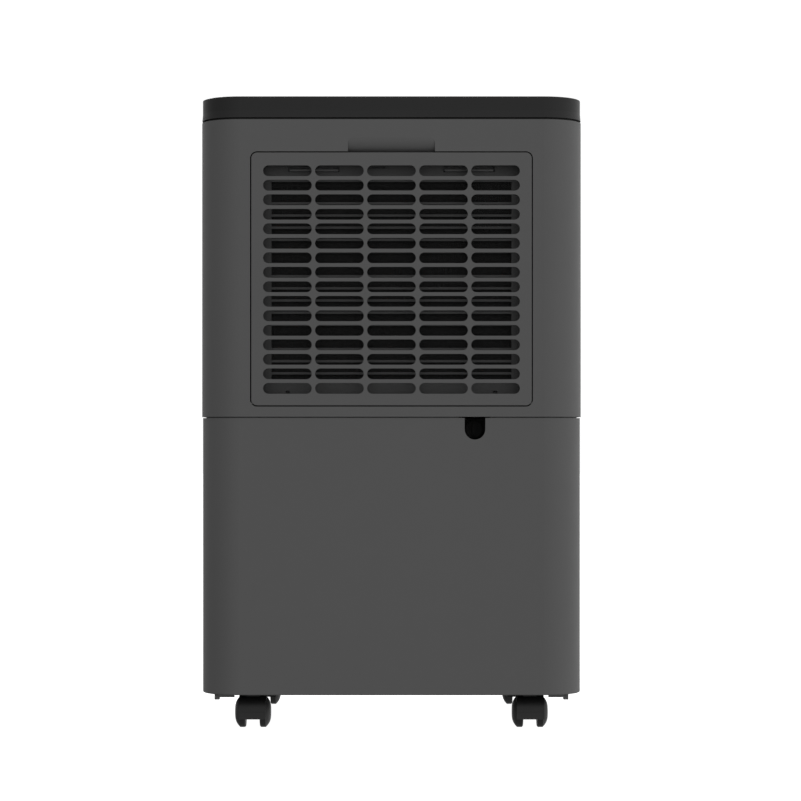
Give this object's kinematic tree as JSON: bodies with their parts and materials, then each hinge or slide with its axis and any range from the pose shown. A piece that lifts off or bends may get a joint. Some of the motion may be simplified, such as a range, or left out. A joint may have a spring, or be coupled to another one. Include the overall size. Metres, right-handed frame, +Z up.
{
  "type": "dehumidifier",
  "caption": "Free-standing compressor dehumidifier with tilt-out slotted intake grille, pull-out water tank, top louvre and small twin-wheel swivel casters.",
  "frame": {"origin": "centre of the footprint on the floor", "axes": "+Z up; front with control panel and water tank faces -Y; air intake at the back faces +Y"},
  "size_m": [0.2912, 0.225, 0.4803],
  "materials": {
    "casing": "fine satin texture",
    "lid": "satin",
    "dark_plastic": "matte",
    "gloss_black": "gloss",
    "filter_plastic": "matte",
    "mesh": "woven filter mesh",
    "fins": "thin sheet",
    "copper": "drawn copper tube",
    "steel": "plain",
    "black_paint": "semi-gloss",
    "rubber": "matte",
    "inner_plastic": "natural",
    "clear": "clear plastic",
    "tank_plastic": "smoky translucent",
    "foam": "closed-cell foam",
    "board": "circuit board",
    "lamp": "small lens",
    "galvanised": "galvanised"
  },
  "bodies": {
    "casing": {"top_cover": "lid", "rear_housing": "casing", "front_housing": "casing", "lower_housing": "casing", "base_pan": "casing", "mid_deck": "inner_plastic", "bay_wall": "inner_plastic", "evaporator_fins": "fins", "evaporator_tube": "copper", "condenser_fins": "fins", "condenser_tube": "copper", "drip_tray": "inner_plastic", "compressor_shell": "black_paint", "compressor_cap": "dark_plastic", "compressor_grommets": "rubber", "accumulator": "black_paint", "suction_line": "copper", "discharge_line": "copper", "capillary_tube": "copper", "fan_scroll": "inner_plastic", "fan_motor": "galvanised", "motor_bracket": "galvanised", "control_panel": "gloss_black", "display_window": "gloss_black", "indicator_lamps": "lamp", "outlet_grille": "dark_plastic", "control_box": "dark_plastic", "main_board": "board", "run_capacitor": "galvanised", "side_grips": "dark_plastic", "casing_screws": "steel", "drain_spout": "dark_plastic"},
    "intake_grille": {"intake_grille": "casing", "filter_frame": "filter_plastic", "filter_mesh": "mesh"},
    "louvre": {"louvre": "lid"},
    "fan": {"fan_wheel": "inner_plastic", "fan_shaft": "steel"},
    "tank": {"water_tank": "tank_plastic", "tank_front": "casing", "tank_window": "clear", "tank_lid": "inner_plastic"},
    "tank_float": {"tank_float": "foam"},
    "drain_cap": {"drain_cap": "rubber"},
    "button_power": {"button_power": "casing"},
    "button_fan_speed": {"button_fan_speed": "casing"},
    "button_humidity": {"button_humidity": "casing"},
    "button_timer": {"button_timer": "casing"},
    "caster_front_left": {"caster_fork_front_left": "dark_plastic"},
    "wheel_front_left_inner": {"caster_wheel_front_left_inner": "dark_plastic"},
    "wheel_front_left_outer": {"caster_wheel_front_left_outer": "dark_plastic"},
    "caster_front_right": {"caster_fork_front_right": "dark_plastic"},
    "wheel_front_right_inner": {"caster_wheel_front_right_inner": "dark_plastic"},
    "wheel_front_right_outer": {"caster_wheel_front_right_outer": "dark_plastic"},
    "caster_rear_left": {"caster_fork_rear_left": "dark_plastic"},
    "wheel_rear_left_inner": {"caster_wheel_rear_left_inner": "dark_plastic"},
    "wheel_rear_left_outer": {"caster_wheel_rear_left_outer": "dark_plastic"},
    "caster_rear_right": {"caster_fork_rear_right": "dark_plastic"},
    "wheel_rear_right_inner": {"caster_wheel_rear_right_inner": "dark_plastic"},
    "wheel_rear_right_outer": {"caster_wheel_rear_right_outer": "dark_plastic"}
  },
  "joints": [
    {"name": "intake_grille_tilt", "type": "hinge", "parent": "casing", "child": "intake_grille", "pos_m": [0, 0.1109, 0.2475], "axis": [-1, 0, 0], "range_deg": [0, 35]},
    {"name": "louvre_swing", "type": "hinge", "parent": "casing", "child": "louvre", "pos_m": [0, 0.0234, 0.4781], "axis": [-1, 0, 0], "range_deg": [0, 70]},
    {"name": "fan_spin", "type": "hinge", "parent": "casing", "child": "fan", "pos_m": [0, 0, 0.345], "axis": [0, 1, 0], "continuous": true},
    {"name": "tank_slide", "type": "slide", "parent": "casing", "child": "tank", "axis": [0, -1, 0], "range_m": [0, 0.16]},
    {"name": "float_rise", "type": "slide", "parent": "tank", "child": "tank_float", "axis": [0, 0, 1], "range_m": [0, 0.012]},
    {"name": "drain_cap_pull", "type": "slide", "parent": "casing", "child": "drain_cap", "axis": [0, 1, 0], "range_m": [0, 0.05]},
    {"name": "button_power_press", "type": "slide", "parent": "casing", "child": "button_power", "axis": [0, 0, -1], "range_m": [0, 0.0008], "stiffness_N_per_m": 800, "springref_m": -0.0005},
    {"name": "button_fan_speed_press", "type": "slide", "parent": "casing", "child": "button_fan_speed", "axis": [0, 0, -1], "range_m": [0, 0.0008], "stiffness_N_per_m": 800, "springref_m": -0.0005},
    {"name": "button_humidity_press", "type": "slide", "parent": "casing", "child": "button_humidity", "axis": [0, 0, -1], "range_m": [0, 0.0008], "stiffness_N_per_m": 800, "springref_m": -0.0005},
    {"name": "button_timer_press", "type": "slide", "parent": "casing", "child": "button_timer", "axis": [0, 0, -1], "range_m": [0, 0.0008], "stiffness_N_per_m": 800, "springref_m": -0.0005},
    {"name": "caster_front_left_swivel", "type": "hinge", "parent": "casing", "child": "caster_front_left", "pos_m": [-0.1059, -0.08225, 0.03], "axis": [0, 0, 1], "continuous": true},
    {"name": "wheel_front_left_inner_roll", "type": "hinge", "parent": "caster_front_left", "child": "wheel_front_left_inner", "pos_m": [-0.1059, -0.07325, 0.012], "axis": [1, 0, 0], "continuous": true},
    {"name": "wheel_front_left_outer_roll", "type": "hinge", "parent": "caster_front_left", "child": "wheel_front_left_outer", "pos_m": [-0.1059, -0.07325, 0.012], "axis": [1, 0, 0], "continuous": true},
    {"name": "caster_front_right_swivel", "type": "hinge", "parent": "casing", "child": "caster_front_right", "pos_m": [0.1059, -0.08225, 0.03], "axis": [0, 0, 1], "continuous": true},
    {"name": "wheel_front_right_inner_roll", "type": "hinge", "parent": "caster_front_right", "child": "wheel_front_right_inner", "pos_m": [0.1059, -0.07325, 0.012], "axis": [1, 0, 0], "continuous": true},
    {"name": "wheel_front_right_outer_roll", "type": "hinge", "parent": "caster_front_right", "child": "wheel_front_right_outer", "pos_m": [0.1059, -0.07325, 0.012], "axis": [1, 0, 0], "continuous": true},
    {"name": "caster_rear_left_swivel", "type": "hinge", "parent": "casing", "child": "caster_rear_left", "pos_m": [-0.1059, 0.08225, 0.03], "axis": [0, 0, 1], "continuous": true},
    {"name": "wheel_rear_left_inner_roll", "type": "hinge", "parent": "caster_rear_left", "child": "wheel_rear_left_inner", "pos_m": [-0.1059, 0.09125, 0.012], "axis": [1, 0, 0], "continuous": true},
    {"name": "wheel_rear_left_outer_roll", "type": "hinge", "parent": "caster_rear_left", "child": "wheel_rear_left_outer", "pos_m": [-0.1059, 0.09125, 0.012], "axis": [1, 0, 0], "continuous": true},
    {"name": "caster_rear_right_swivel", "type": "hinge", "parent": "casing", "child": "caster_rear_right", "pos_m": [0.1059, 0.08225, 0.03], "axis": [0, 0, 1], "continuous": true},
    {"name": "wheel_rear_right_inner_roll", "type": "hinge", "parent": "caster_rear_right", "child": "wheel_rear_right_inner", "pos_m": [0.1059, 0.09125, 0.012], "axis": [1, 0, 0], "continuous": true},
    {"name": "wheel_rear_right_outer_roll", "type": "hinge", "parent": "caster_rear_right", "child": "wheel_rear_right_outer", "pos_m": [0.1059, 0.09125, 0.012], "axis": [1, 0, 0], "continuous": true}
  ]
}
